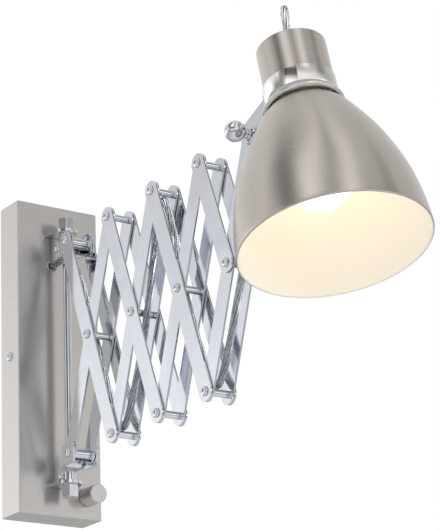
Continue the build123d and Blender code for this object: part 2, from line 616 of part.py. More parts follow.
# ---- cable ------------------------------------------------------------------
def cable_piece(name, points):
    """Round cable along straight runs joined by tangent arcs, as wide as the runs allow."""
    runs = [after - before for before, after in zip(points, points[1:])]
    arcs = []
    for before, after in zip(runs, runs[1:]):
        half_turn = radians(before.get_angle(after)) / 2
        arcs.append(0.45 * min(before.length, after.length) / tan(half_turn))
    path = FilletPolyline(*points, radius=arcs)
    section = Plane(origin=path @ 0, z_dir=path % 0) * Circle(CABLE_RADIUS)
    tube = sweep(section, path=path)
    share = tube.volume / (pi * CABLE_RADIUS ** 2 * path.length)
    print(name, "radii", [round(arc, 1) for arc in arcs], "length", round(path.length, 1),
          "volume share", round(share, 4))
    return tube


def cable_pieces():
    corners = {name: [Vector(*point) for point in route] for name, route in CABLE_CORNERS.items()}
    names = list(corners)
    start = Vector(*CABLE_START)
    pieces = {}
    for name, following in zip(names, names[1:] + [None]):
        end = (corners[name][-1] + corners[following][0]) * 0.5 if following else Vector(*CABLE_END)
        pieces[name] = cable_piece(name, [start] + corners[name] + [end])
        start = end
    return pieces


# ---- build and write --------------------------------------------------------
parts["wall_plate"] = wall_plate()
parts["housing"] = housing()
parts["side_screws"] = side_screws()
parts["rod_bracket_top"] = rod_bracket(BRACKET_HIGH, -1)
parts["rod_bracket_bottom"] = rod_bracket(BRACKET_LOW - BRACKET_THICK, 1)
parts["pivot_rod"] = pivot_rod()
parts["rod_nuts"] = rod_nuts()
parts["stop_collar"] = stop_collar()
parts["stop_collar_screw"] = clamp_screw(COLLAR_RADIUS, ROD_RADIUS + THREAD, COLLAR_SCREW_AZIMUTH,
                                         BRACKET_LOW + COLLAR_HEIGHT / 2)
parts["top_clevis"] = top_clevis()
parts["top_clevis_screw"] = clamp_screw(HUB_RADIUS, ROD_RADIUS - GROOVE_DEPTH + RUNNING, CLAMP_AZIMUTH,
                                        TOP_BASE + CLEVIS_BASE_THICK + CLAMP_RISE)
parts["bottom_clevis"] = bottom_clevis()

for bar_name, bar_pivots in BARS.items():
    layer = OUTER_IN if bar_name[0] == "d" else INNER_IN
    for side_name, side_sign in SIDES.items():
        parts[f"bar_{bar_name}_{side_name}"] = bar(bar_pivots, layer, side_sign)

for owner, names in PIN_OWNERS.items():
    parts[f"cross_tubes_{owner}"] = [cross_tube(name) for name in names]
    parts[f"pivot_screws_{owner}"] = pivot_screws(names)

parts["head_bracket"] = head(head_bracket())
parts["clamp_knob"] = head(clamp_knob())
parts["neck_collar"] = head_axis(neck_collar())
parts["lamp_cap"] = head_axis(lamp_cap())
parts["cord_grip"] = head_axis(cord_grip())
parts["shade"] = head_axis(shade())
parts["lampholder"] = head_axis(lampholder())
parts["shade_ring"] = head_axis(shade_ring())
parts["bulb_base"] = head_axis(bulb_base())
parts["bulb_glass"] = head_axis(bulb_glass())
parts["switch_body"] = switch_body()
parts["switch_knob"] = switch_knob()
parts["terminal_block"] = terminal_block()
parts["outlet_bush"] = outlet_bush()

parts.update(cable_pieces())

os.makedirs("parts", exist_ok=True)
for node, shape in parts.items():
    solid = Compound(children=list(shape)) if isinstance(shape, list) else shape
    export_step(solid, f"parts/{node}.step")
print(len(parts), "nodes written")
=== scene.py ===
import bpy
import bmesh
import json
from itertools import cycle
from math import cos, pi, radians, sin, tau
from mathutils import Matrix, Vector
from mathutils.geometry import interpolate_bezier


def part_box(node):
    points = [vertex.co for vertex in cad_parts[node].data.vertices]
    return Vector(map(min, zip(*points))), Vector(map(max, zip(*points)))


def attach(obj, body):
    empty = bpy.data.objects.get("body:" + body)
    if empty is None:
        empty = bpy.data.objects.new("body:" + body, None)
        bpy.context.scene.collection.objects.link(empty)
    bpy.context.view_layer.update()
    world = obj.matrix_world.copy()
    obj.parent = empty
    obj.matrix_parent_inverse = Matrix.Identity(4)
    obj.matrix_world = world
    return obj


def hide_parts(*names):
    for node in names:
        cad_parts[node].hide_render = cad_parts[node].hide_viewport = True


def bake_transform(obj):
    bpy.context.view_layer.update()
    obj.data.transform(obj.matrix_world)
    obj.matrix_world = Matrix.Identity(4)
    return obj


# An accordion wall lamp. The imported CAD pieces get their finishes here. The shade, the neck collar,
# the screws and the clear cable are made anew, each in place of its plain solid.
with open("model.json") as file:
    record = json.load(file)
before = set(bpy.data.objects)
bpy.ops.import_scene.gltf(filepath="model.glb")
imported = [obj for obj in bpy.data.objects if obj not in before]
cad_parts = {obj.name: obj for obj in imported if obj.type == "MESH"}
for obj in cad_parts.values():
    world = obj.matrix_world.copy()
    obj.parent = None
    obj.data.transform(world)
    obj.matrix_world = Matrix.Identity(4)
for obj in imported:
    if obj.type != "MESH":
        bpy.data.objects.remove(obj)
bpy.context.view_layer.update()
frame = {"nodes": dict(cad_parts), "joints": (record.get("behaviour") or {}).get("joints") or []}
mm = 0.001
weld = 1e-6                       # m, points closer than this become one

# The camera stands low in front of the lamp, a little to its left, and looks up at it.
cameraPlan = {
    "place": (-1.10468, -1.89425, -0.66045),
    "azimuth": 35.025,            # degrees, 0 looks along +Y
    "elevation": 19.223,
    "roll": -2.182,
    "lens": 154.44,               # mm
    "filmHeight": 36,             # mm
    "farthest": 50,               # m, how far it sees
}


def makeCamera(plan):
    azimuth, elevation, roll = (radians(plan[key]) for key in ("azimuth", "elevation", "roll"))
    ahead = Vector((sin(azimuth) * cos(elevation), cos(azimuth) * cos(elevation), sin(elevation)))
    level = Vector((cos(azimuth), -sin(azimuth), 0))
    upright = level.cross(ahead)
    right = level * cos(roll) + upright * sin(roll)
    up = upright * cos(roll) - level * sin(roll)
    data = bpy.data.cameras.new("camera")
    data.sensor_fit = "VERTICAL"
    data.sensor_height = plan["filmHeight"]
    data.lens = plan["lens"]
    data.clip_end = plan["farthest"]
    camera = bpy.data.objects.new("camera", data)
    bpy.context.scene.collection.objects.link(camera)
    turn = Matrix((right, up, -ahead)).transposed().to_4x4()
    camera.matrix_world = Matrix.Translation(plan["place"]) @ turn
    bpy.context.scene.camera = camera


makeCamera(cameraPlan)
bpy.context.scene.view_settings.view_transform = "Standard"
print("camera stands")

# The arm's pivots and the head's own frame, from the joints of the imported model.
headPlan = {
    "tilt": 13.5,                 # degrees, lean of the head
    "neckOut": 66.5 * mm,         # the head's axis in front of its pivot
}
jointAt = {joint["name"]: Vector(joint["pos_m"]) for joint in frame["joints"]}
firstTop, firstMiddle, headPivot = jointAt["fold"], jointAt["cross_m1"], jointAt["head_tilt"]
halfCell = firstTop.y - firstMiddle.y
halfRise = firstTop.z - firstMiddle.z
headTurn = Matrix.Rotation(-radians(headPlan["tilt"]), 4, "X")
headPlace = Matrix.Translation(headPivot) @ headTurn @ Matrix.Translation((0, -headPlan["neckOut"], 0))
shadeAxis = tuple(headTurn.to_3x3() @ Vector((0, 0, 1)))


# Where a pivot of the arm is: a row, t, m or b for top, middle or bottom, and its number from the wall.
def armPivot(name):
    row, number = name[0], int(name[1])
    steps = 2 * number - (row == "m")
    rise = halfRise * {"t": 1, "m": 0, "b": -1}[row]
    return Vector((0, firstTop.y - halfCell * steps, firstMiddle.z + rise))


# An sRGB hex colour as linear values.
def linear(hexColour):
    values = [int(hexColour[i:i + 2], 16) / 255 for i in (0, 2, 4)]
    return tuple(v / 12.92 if v <= 0.04045 else ((v + 0.055) / 1.055) ** 2.4 for v in values) + (1.0,)


# Adds a node with its inputs, linked or given as values; stops are the places and colours of a ramp.
def addNode(tree, kind, inputs=None, stops=(), **settings):
    node = tree.nodes.new(kind)
    for key, value in settings.items():
        setattr(node, key, value)
    for key, value in (inputs or {}).items():
        if isinstance(value, bpy.types.NodeSocket):
            tree.links.new(value, node.inputs[key])
        else:
            node.inputs[key].default_value = value
    if stops:
        elements = node.color_ramp.elements
        while len(elements) < len(stops):
            elements.new(0.5)
        for element, (place, colour) in zip(elements, stops):
            element.position = place
            element.color = colour
    return node


def startMaterial(name):
    material = bpy.data.materials.new(name)
    material.use_nodes = True
    tree = material.node_tree
    tree.nodes.clear()
    return material, tree


def endMaterial(tree, inputs):
    shader = addNode(tree, "ShaderNodeBsdfPrincipled", inputs)
    addNode(tree, "ShaderNodeOutputMaterial", {"Surface": shader.outputs[0]})


# What the patterns of all the finishes are made of.
patternPlan = {
    "low": 0.3, "high": 0.7,      # nearly all values of a noise lie between these
    "relief": 0.1 * mm,           # height of the texture at a bump strength of 1
    "brushDetail": 3.0, "brushHarshness": 0.6, "brushGloss": (0.92, 1.1),
    "polishDetail": 4.0, "polishGloss": (0.7, 1.3),             # gloss is the roughness's range, as shares
    "coatDetail": 2.0,
}


# A noise, and the tone that it gives between a darker and a lighter colour.
def mottle(tree, place, scale, detail, colours, **more):
    noise = addNode(tree, "ShaderNodeTexNoise", {"Vector": place, "Scale": scale, "Detail": detail, **more})
    pattern = noise.outputs["Fac"]
    dark, light = (linear(colour) for colour in colours)
    tone = addNode(tree, "ShaderNodeValToRGB", {"Fac": pattern},
                   stops=[(patternPlan["low"], dark), (patternPlan["high"], light)])
    return pattern, tone.outputs[0]


# Brushed or spun metal. Fine strokes, a little lighter and darker, pull every reflection out across them.
# strokes is their size in mm along the piece's X, Y and Z once it is turned by lean about X. A real one is
# about 0.05 mm wide, too fine to show, so they are drawn 0.4 to 0.6 mm wide.
# pull is the direction, in the piece's frame, in which reflections are drawn out.
def brushedMetal(name, colours, roughness, pull, strokes, anisotropy=0.8, lean=0.0, bump=0.05):
    material, tree = startMaterial(name)
    place = addNode(tree, "ShaderNodeTexCoord").outputs["Object"]
    turned = addNode(tree, "ShaderNodeMapping", {"Vector": place, "Rotation": (lean, 0, 0)})
    scaled = addNode(tree, "ShaderNodeVectorMath",
                     {0: turned.outputs[0], 1: [1 / (size * mm) for size in strokes]}, operation="MULTIPLY")
    grain, tone = mottle(tree, scaled.outputs[0], 1.0, patternPlan["brushDetail"], colours,
                         Roughness=patternPlan["brushHarshness"])
    least, most = patternPlan["brushGloss"]
    rough = addNode(tree, "ShaderNodeMapRange",
                    {"Value": grain, "From Min": patternPlan["low"], "From Max": patternPlan["high"],
                     "To Min": roughness * least, "To Max": roughness * most})
    normal = addNode(tree, "ShaderNodeBump",
                     {"Height": grain, "Strength": bump, "Distance": patternPlan["relief"]})
    along = addNode(tree, "ShaderNodeVectorTransform", {"Vector": pull}, vector_type="VECTOR",
                    convert_from="OBJECT", convert_to="WORLD")
    endMaterial(tree, {"Base Color": tone, "Metallic": 1.0, "Roughness": rough.outputs[0],
                       "Anisotropic": anisotropy, "Normal": normal.outputs[0], "Tangent": along.outputs[0]})
    return material


# Polished plate: almost a mirror, with a faint haze and an uneven tone where it has been wiped.
# blotch is the size of a wiped patch in mm, and dip leans the shading down along the shade's axis,
# for a band that is rolled a little hollow.
def polishedMetal(name, colours, roughness, blotch=18.0, dip=0.0):
    material, tree = startMaterial(name)
    place = addNode(tree, "ShaderNodeTexCoord").outputs["Object"]
    haze, tone = mottle(tree, place, 1 / (blotch * mm), patternPlan["polishDetail"], colours)
    least, most = patternPlan["polishGloss"]
    rough = addNode(tree, "ShaderNodeMapRange",
                    {"Value": haze, "From Min": patternPlan["low"], "From Max": patternPlan["high"],
                     "To Min": roughness * least, "To Max": roughness * most})
    inputs = {"Base Color": tone, "Metallic": 1.0, "Roughness": rough.outputs[0]}
    if dip:
        surface = addNode(tree, "ShaderNodeNewGeometry")
        down = [-dip * part for part in shadeAxis]
        leaned = addNode(tree, "ShaderNodeVectorMath", {0: surface.outputs["Normal"], 1: down},
                         operation="ADD")
        evened = addNode(tree, "ShaderNodeVectorMath", {0: leaned.outputs[0]}, operation="NORMALIZE")
        inputs["Normal"] = evened.outputs[0]
    endMaterial(tree, inputs)
    return material


# Moulded, cast or blown: even colour with a faint mottle and a fine texture. speck is its size in mm;
# a moulding's own texture is about 0.1 mm, too fine to show, so it is drawn 0.8 mm.
def smoothCoat(name, colours, roughness, speck=0.8, bump=0.08, **extra):
    material, tree = startMaterial(name)
    place = addNode(tree, "ShaderNodeTexCoord").outputs["Object"]
    grain, tone = mottle(tree, place, 1 / (speck * mm), patternPlan["coatDetail"], colours)
    normal = addNode(tree, "ShaderNodeBump",
                     {"Height": grain, "Strength": bump, "Distance": patternPlan["relief"]})
    inputs = {"Base Color": tone, "Roughness": roughness, "Normal": normal.outputs[0]}
    for key, value in extra.items():
        inputs[key.replace("_", " ")] = value
    endMaterial(tree, inputs)
    return material


# Lacquer sprayed and baked inside the shade. Its colour changes with the depth below the neck: painted
# shade makes it warmer and darker deep inside.
lacquerPlan = {
    "rim": 155.0,                 # mm, the shade's rim below the head's own middle
    "change": (10.0, 80.0),       # mm above the rim, where the painted shade starts and ends to deepen
    "speck": 1.2,                 # mm, orange peel drawn a little coarser than it is
    "roughness": 0.5, "bump": 0.08,
}


def lacquerWithPaintedShade(name, deepPaintedShadeColour, rimColour, plan):
    material, tree = startMaterial(name)
    place = addNode(tree, "ShaderNodeTexCoord").outputs["Object"]
    depth = addNode(tree, "ShaderNodeVectorMath", {0: place, 1: shadeAxis}, operation="DOT_PRODUCT")
    rimLevel = (headPlace @ Vector((0, 0, -plan["rim"] * mm))).dot(Vector(shadeAxis))
    low, high = (rimLevel + part * mm for part in plan["change"])
    # from the lacquer's own cream at the rim to painted shade, warmer and darker, deep inside
    share = addNode(tree, "ShaderNodeMapRange",
                    {"Value": depth.outputs["Value"], "From Min": low, "From Max": high})
    tone = addNode(tree, "ShaderNodeValToRGB", {"Fac": share.outputs[0]},
                   stops=[(0.0, linear(rimColour)), (1.0, linear(deepPaintedShadeColour))])
    grain = addNode(tree, "ShaderNodeTexNoise", {"Vector": place, "Scale": 1 / (plan["speck"] * mm),
                                                 "Detail": patternPlan["coatDetail"]})
    normal = addNode(tree, "ShaderNodeBump", {"Height": grain.outputs["Fac"], "Strength": plan["bump"],
                                              "Distance": patternPlan["relief"]})
    endMaterial(tree, {"Base Color": tone.outputs[0], "Roughness": plan["roughness"],
                       "Normal": normal.outputs[0]})
    return material


headLean = radians(headPlan["tilt"])
finishes = {
    # stainless sheet with a fine level grain: what it mirrors stays sharp sideways and blurs up and down
    "brushedSteel": brushedMetal("brushedStainlessSteel", ("CBC8C4", "D3D0CD"), 0.30, (0, 0.02, 1),
                                 (30.0, 30.0, 0.4), anisotropy=0.8, bump=0.02),
    # satin nickel spun on a lathe: fine rings round the shade draw lights out into upright streaks
    "spunNickel": brushedMetal("spunSatinNickel", ("C6BFB7", "CCC5BE"), 0.27, shadeAxis, (34.0, 34.0, 0.5),
                               anisotropy=0.88, lean=headLean, bump=0.004),
    # the same nickel brushed on a short cap: a warm grey with closer, softer streaks
    "brushedNickel": brushedMetal("brushedNickelCap", ("C4BCB5", "CEC7C1"), 0.26, shadeAxis,
                                  (24.0, 24.0, 0.6), anisotropy=0.85, lean=headLean, bump=0.0),
    # aluminium turned on a lathe: pale, with a dull, even shine
    "turnedAluminium": brushedMetal("turnedAluminium", ("CDCCCA", "DAD9D7"), 0.30, (0, 1, 0.02),
                                    (16.0, 0.4, 16.0), anisotropy=0.6),
    # bright chrome on small steel parts: cool and almost a mirror, so it looks black and white in turn
    "chromePlate": polishedMetal("chromePlate", ("D6D8DC", "E6E8EC"), 0.05),
    # chrome on flat rolled bar, which is never quite flat: the same cool mirror, a touch softer
    "chromeBar": polishedMetal("chromePlatedBar", ("D8DBE2", "E3E6EC"), 0.09, blotch=30.0),
    # nickel-plated and buffed to a mirror: whole panels of the room stand in it with crisp edges
    "mirrorCollar": polishedMetal("mirrorPolishedCollar", ("DAD7D3", "E6E4E1"), 0.03, blotch=25.0,
                                  dip=0.32),
    # zinc-plated sheet: darker and greyer than the box, with a flat, cloudy shine
    "zincPlate": brushedMetal("zincPlatedSteel", ("9DA1A4", "B4B8BB"), 0.38, (0, 0.02, 1),
                              (20.0, 20.0, 0.6), anisotropy=0.3),
    # baked lacquer: nearly matt and cream at the rim, a little warmer and darker deep inside as painted
    # shade
    "creamLacquer": lacquerWithPaintedShade("creamLacquer", "F9EBDD", "FEFCF3", lacquerPlan),
    # pressed phenolic: hard off-white with a low gloss
    "phenolic": smoothCoat("whitePhenolic", ("E6E2D6", "EFECE2"), 0.28),
    # moulded nylon: near black and dull
    "blackNylon": smoothCoat("blackNylon", ("141414", "1E1E1E"), 0.5),
    # natural nylon: yellowish white, slightly waxy
    "creamNylon": smoothCoat("creamNylon", ("D6CFB8", "E2DCC8"), 0.45),
    # soft PVC, water clear: a glossy skin with the strands plain to see; its IOR is below the real 1.5,
    # through which strands as thin as these look like grains at this size
    "clearSheath": smoothCoat("clearSoftPvc", ("F4F6F7", "FAFBFC"), 0.06, speck=6.0, bump=0.0,
                              Transmission_Weight=1.0, IOR=1.3),
    # natural nylon moulded thin: see-through and a little milky
    "clearPlastic": smoothCoat("clearNylonBush", ("E9ECEE", "F4F6F7"), 0.14, Transmission_Weight=0.75,
                               IOR=1.53),
    # tinned copper, drawn bright: cool silver threads with a soft shine
    "tinnedCopper": polishedMetal("tinnedCopper", ("ACAEB2", "CFD1D4"), 0.24, blotch=12.0),
    # opal glass with the lamp on: milky, and bright enough to light the inside of the shade
    "litOpal": smoothCoat("litOpalGlass", ("FFFBF2", "FFFDF7"), 0.22, speck=6.0, bump=0.02,
                          Emission_Color=linear("FFF6E6"), Emission_Strength=1.8),
}
print("materials mixed")

# Finishes of the CAD pieces; the bars are chromed bar, and what isn't named here is chrome plate.
stayFinish = {
    "housing": "brushedSteel", "wall_plate": "zincPlate", "bulb_base": "zincPlate",
    "lampholder": "phenolic", "shade_ring": "phenolic", "bulb_glass": "litOpal",
    "lamp_cap": "brushedNickel", "neck_collar": "mirrorCollar", "switch_knob": "turnedAluminium",
    "switch_body": "blackNylon", "terminal_block": "creamNylon",
    "outlet_bush": "clearPlastic", "cord_grip": "clearPlastic",
}
for node, piece in frame["nodes"].items():
    plain = "chromeBar" if node.startswith("bar_") else "chromePlate"
    piece.data.materials.clear()
    piece.data.materials.append(finishes[stayFinish.get(node, plain)])
print("CAD pieces finished")


# A finished bmesh becomes a piece that stands for CAD nodes of its body.
# It is smooth but for its corners, which are the edges that turn by more than corner, in degrees.
def addPiece(name, bm, finish, body=None, nodes=(), corner=32):
    mesh = bpy.data.meshes.new(name)
    bm.to_mesh(mesh)
    bm.free()
    mesh.shade_smooth()
    mesh.set_sharp_from_angle(angle=radians(corner))
    piece = bpy.data.objects.new(name, mesh)
    bpy.context.scene.collection.objects.link(piece)
    for each in [finish] if isinstance(finish, str) else finish:
        mesh.materials.append(finishes[each])
    if body:
        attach(piece, body)
    if nodes:
        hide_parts(*nodes)
    return piece


# Turns an outline of (radius, height) points round Z, in mm.
def spun(outline, steps, closed=False):
    bm = bmesh.new()
    corners = [bm.verts.new((r * mm, 0, z * mm)) for r, z in outline]
    edges = [bm.edges.new(pair) for pair in zip(corners, corners[1:])]
    if closed:
        edges.append(bm.edges.new((corners[-1], corners[0])))
    bmesh.ops.spin(bm, geom=corners + edges, cent=(0, 0, 0), axis=(0, 0, 1), angle=tau, steps=steps,
                   use_merge=True, use_duplicate=False)
    bmesh.ops.remove_doubles(bm, verts=bm.verts, dist=weld)
    bmesh.ops.recalc_face_normals(bm, faces=bm.faces)
    return bm


# A smooth line through (radius, height) points that starts and ends in the given directions.
def smoothLine(knots, firstWay, lastWay, steps):
    points = [Vector((r, z)) for r, z in knots]
    ways = [Vector(firstWay).normalized()]
    ways += [(after - before).normalized() for before, after in zip(points, points[2:])]
    ways += [Vector(lastWay).normalized()]
    line = []
    for i in range(len(points) - 1):
        a, b = points[i], points[i + 1]
        reach = (b - a).length / 3                              # each handle, for an even curve
        line += interpolate_bezier(a, a + ways[i] * reach, b - ways[i + 1] * reach, b, steps)[:-1]
    return [tuple(p)[:2] for p in line] + [tuple(points[-1])]


# Bell shade of spun sheet, in mm. Its rim is turned in to a small bead, and it is lacquered cream inside.
shadePlan = {
    "hole": 20.15, "neck": (33.0, -16.7),
    "outline": [(50.5, -41.0), (66.0, -71.0), (78.6, -109.0), (84.5, -153.8)],
    "shoulderWay": (1, -0.85), "rimWay": (0.04, -1),
    "wall": 1.2, "bead": 1.2,
    "curl": (0.4, 0.8, 1.2, 1.6, 2.0, 2.4, 2.8),                # radians round the bead
    "lineSteps": 12, "turnSteps": 128, "corner": 40,
    "bareTop": 0.1,                                             # no lacquer above this far below the neck
}


def makeShade(plan):
    wall, bead = plan["wall"], plan["bead"]
    neckRadius, neckHeight = plan["neck"]
    firstWay, lastWay, steps = plan["shoulderWay"], plan["rimWay"], plan["lineSteps"]
    outside = smoothLine([plan["neck"]] + plan["outline"], firstWay, lastWay, steps)
    neckInside = (neckRadius - wall, neckHeight - wall)
    insideKnots = [neckInside] + [(r - wall, z) for r, z in plan["outline"]]
    inside = smoothLine(insideKnots, firstWay, lastWay, steps)
    rimRadius, rimHeight = plan["outline"][-1]
    curl = [(rimRadius - bead + bead * cos(a), rimHeight - bead * sin(a)) for a in plan["curl"]]
    outline = [(plan["hole"], neckHeight)] + outside + curl + inside[::-1] + [(plan["hole"], neckInside[1])]
    bm = spun(outline, plan["turnSteps"], closed=True)
    bareTop = (neckHeight - plan["bareTop"]) * mm
    for face in bm.faces:
        centre = face.calc_center_median()
        inward = face.normal.x * centre.x + face.normal.y * centre.y < 0
        face.material_index = 1 if inward and centre.z < bareTop else 0
    bm.transform(headPlace)
    return addPiece("spunShade", bm, ["spunNickel", "creamLacquer"], "head", ["shade"],
                    corner=plan["corner"])


makeShade(shadePlan)
print("shade spun")

# Turned neck collar, in mm, polished like a mirror.
# Its lip flares over the shade and ends in a rolled edge.
collarPlan = {
    "hole": 20.15, "outer": 32.5, "wall": 1.15,
    "band": (-2.5, 10.8),                                       # lowest and highest
    "edge": 0.4, "edgeMiddle": 0.3,                             # eased top edge, and its middle as a share
    "lip": [(32.5, -5.5), (31.9, -8.0), (32.3, -10.0)],
    "lipWays": ((0, -1), (1, -0.4)), "lipSteps": 6, "insideEvery": 4,
    "roll": (33.9, -12.4, 2.4),                                 # middle of the rolled edge, and its radius
    "curl": (1.9, 1.5, 1.1, 0.7, 0.3, -0.1, -0.5, -0.9, -1.3, -1.7, -2.1, -2.5),    # radians round it
    "turnSteps": 96, "corner": 40,
}


def makeCollar(plan):
    low, high = plan["band"]
    hole, outer, wall, edge = (plan[key] for key in ("hole", "outer", "wall", "edge"))
    middle = edge * plan["edgeMiddle"]
    rollRadius, rollHeight, roll = plan["roll"]
    lip = smoothLine(plan["lip"], *plan["lipWays"], plan["lipSteps"])
    curl = [(rollRadius + roll * cos(a), rollHeight + roll * sin(a)) for a in plan["curl"]]
    inside = [(r - wall, z) for r, z in lip[::-plan["insideEvery"]]]
    outline = [(hole, low - wall), (hole, low), (outer - wall, low), (outer - wall, high),
               (outer - edge, high), (outer - middle, high - middle), (outer, high - edge)]
    bm = spun(outline + lip + curl + inside, plan["turnSteps"], closed=True)
    bm.transform(headPlace)
    return addPiece("neckCollar", bm, "mirrorCollar", "head", ["neck_collar"],
                    corner=plan["corner"])


makeCollar(collarPlan)
print("collar turned")

# Pan-head screws with a cross recess, in mm, on both ends of every pivot tube
# and in the sides of the box.
screwPlan = {
    "radius": 4.6, "edge": 0.6, "height": 2.2,
    "dome": (0.72, 0.88),                       # a point on the dome, as shares of radius and height
    "domeWays": ((-0.25, 1), (-1, 0)), "domeSteps": 5,
    "shank": 2.0, "shankLength": 9.4, "tip": (0.3, 0.4),        # the tip's bevel, across and along
    "turnSteps": 28, "corner": 38,
    "recess": (5.2, 1.25, 1.5),                 # length, width and depth of each arm of the cross
    "recessFloor": (0.55, 0.6, 1),              # the arms narrow by this towards their floor
    "seat": 14.2, "forkSeat": 14.7,             # undersides of the heads from the lamp's middle
    "owners": {"d1": ("t0", "m1", "b1"), "u1": ("b0", "t1"), "u2": ("m2", "t2"), "d3": ("m3", "b3"),
               "u3": ("b2", "t3"), "u4": ("m4", "t4")},
    "turns": (20, 65, 110, 35, 80, 5, 50, 95),  # degrees, how the crosses happen to stand
    "sideTurn": 28,
}


def meshObject(name, bm):
    holder = bpy.data.objects.new(name, bpy.data.meshes.new(name))
    bm.to_mesh(holder.data)
    bm.free()
    bpy.context.scene.collection.objects.link(holder)
    return holder


# One screw along +Z, head on the level z = 0 and shank below it.
def screwMesh(plan):
    radius, height, shank, shankLength = (plan[key] for key in ("radius", "height", "shank", "shankLength"))
    domeRadius, domeHeight = plan["dome"]
    dome = smoothLine([(radius, plan["edge"]), (radius * domeRadius, height * domeHeight), (0.0, height)],
                      *plan["domeWays"], plan["domeSteps"])
    tipIn, tipUp = plan["tip"]
    outline = [(0, -shankLength), (shank - tipIn, -shankLength), (shank, -shankLength + tipUp), (shank, 0),
               (radius, 0)]
    blank = meshObject("screwBlank", spun(outline + dome, plan["turnSteps"]))
    length, width, depth = (value * mm for value in plan["recess"])
    cutters = []
    for turn in (0, 90):
        bm = bmesh.new()
        bmesh.ops.create_cube(bm, size=1)
        bmesh.ops.scale(bm, vec=(length, width, depth * 2), verts=bm.verts)
        low = [v for v in bm.verts if v.co.z < 0]
        bmesh.ops.scale(bm, vec=plan["recessFloor"], verts=low)
        bmesh.ops.translate(bm, vec=(0, 0, height * mm), verts=bm.verts)
        bmesh.ops.rotate(bm, cent=(0, 0, 0), matrix=Matrix.Rotation(radians(turn), 3, "Z"), verts=bm.verts)
        cutters.append(meshObject("recessCutter", bm))
        cut = blank.modifiers.new("recess", "BOOLEAN")
        cut.operation, cut.solver, cut.object = "DIFFERENCE", "EXACT", cutters[-1]
    depsgraph = bpy.context.evaluated_depsgraph_get()
    mesh = bpy.data.meshes.new_from_object(blank.evaluated_get(depsgraph))
    for used in cutters + [blank]:
        bpy.data.objects.remove(used)
    return mesh


def addScrews(name, mesh, places, body, node, corner):
    bm = bmesh.new()
    for place in places:
        loose = mesh.copy()
        loose.transform(place)
        bm.from_mesh(loose)
        bpy.data.meshes.remove(loose)
    return addPiece(name, bm, "chromePlate", body, [node], corner=corner)


# Where a screw sits: on the spot, head towards the right side for 1 or the left for -1, its cross turned.
def screwPlace(spot, side, turn):
    outward = Matrix.Rotation(radians(90 * side), 4, "Y")
    return Matrix.Translation(spot) @ outward @ Matrix.Rotation(radians(turn), 4, "Z")


def makeScrews(plan):
    mesh = screwMesh(plan)
    turns = cycle(plan["turns"])
    for owner, names in plan["owners"].items():
        places = []
        for pivotName in names:
            atFork = pivotName == "t4"
            seat = plan["forkSeat"] if atFork else plan["seat"]
            for side in (1,) if atFork else (-1, 1):            # the clamp knob's stud has the fork's left
                spot = armPivot(pivotName) + Vector((side * seat * mm, 0, 0))
                places.append(screwPlace(spot, side, next(turns)))
        addScrews("pivotScrews_" + owner, mesh, places, owner, "pivot_screws_" + owner, plan["corner"])
    low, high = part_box("side_screws")
    halfWidth = (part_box("housing")[1][0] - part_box("housing")[0][0]) / 2
    spots = [(side * halfWidth, (low[1] + high[1]) / 2, (low[2] + high[2]) / 2) for side in (-1, 1)]
    places = [screwPlace(spot, side, plan["sideTurn"]) for spot, side in zip(spots, (-1, 1))]
    addScrews("sideScrews", mesh, places, "wall_box", "side_screws", plan["corner"])


makeScrews(screwPlan)
print("screws driven")

# Clear round cable over six bright cores. The route's corners are those of the part, in mm;
# a stretch ends midway between its last corner and the next stretch's first.
cablePlan = {
    "radius": 3.5, "sheathSides": 6,            # sides are steps of roundness, as on a curve's bevel
    "cores": 6, "coreRadius": 0.9, "coreSides": 3,
    "coreOut": 1.85, "lay": 120.0,              # a core's distance from the middle, and one whole twist
    "curveSteps": 14, "shortest": 0.1,          # steps of the route between corners, and the least step
    "start": (-11.3, -7.5, -12.7),
    "end": (0, -450.1, 131.0),
    "corners": {
        "cable_feed": [(-7.9, -9.0, 40.0), (-7.9, -9.0, 95.2), (-7.9, -44.0, 95.2), (-7.6, -64.0, 94.2)],
        "cable_first_bar": [(0, -80.0, 73.0), (0, -103.5, -0.7)],
        "cable_bend_b1": [(0, -142.0, -98.8), (0, -158.4, -98.8), (0, -198.5, -1.3)],
        "cable_bend_t2": [(0, -220.6, 102.8), (0, -237.0, 102.8), (0, -259.1, -1.3)],
        "cable_bend_b3": [(0, -299.3, -98.8), (0, -315.7, -98.8), (0, -354.5, -0.8)],
        "cable_head": [(0, -396.5, 110.0), (12.0, -393.0, 142.0), (32.0, -392.0, 176.0),
                       (32.0, -392.0, 210.1), (22.6, -404.0, 226.0), (9.4, -420.0, 226.0),
                       (0, -431.2, 210.1)],
    },
    # bodies on each side of the joint that a stretch crosses, and where it bends, in mm
    "bends": {
        "cable_feed": ("wall_box", "top_clevis", (-7.9, -44.0, 95.2), (-7.6, -66.0, 93.0)),
        "cable_first_bar": ("top_clevis", "d1", (-3.8, -72.0, 84.0), (0, -86.0, 60.0)),
        "cable_bend_b1": ("d1", "u2", (0, -142.0, -98.8), (0, -158.4, -98.8)),
        "cable_bend_t2": ("u2", "d3", (0, -220.6, 102.8), (0, -237.0, 102.8)),
        "cable_bend_b3": ("d3", "u4", (0, -299.3, -98.8), (0, -315.7, -98.8)),
        "cable_head": ("u4", "head", (0, -396.0, 150.0), (0, -431.0, 150.0)),
    },
}


# Points read along the smooth NURBS line that the route's corners control.
def routeLine(controls, plan):
    curve = bpy.data.curves.new("route", "CURVE")
    curve.dimensions = "3D"
    curve.resolution_u = plan["curveSteps"]
    spline = curve.splines.new("NURBS")
    spline.points.add(len(controls) - 1)
    for point, control in zip(spline.points, controls):
        point.co = (*control, 1)
    spline.order_u = 3
    spline.use_endpoint_u = True
    route = bpy.data.objects.new("route", curve)
    bpy.context.scene.collection.objects.link(route)
    mesh = bpy.data.meshes.new_from_object(route)
    line = []
    for vertex in mesh.vertices:
        if not line or (vertex.co - line[-1]).length > plan["shortest"] * mm:
            line.append(vertex.co.copy())
    bpy.data.objects.remove(route)
    bpy.data.meshes.remove(mesh)
    return line


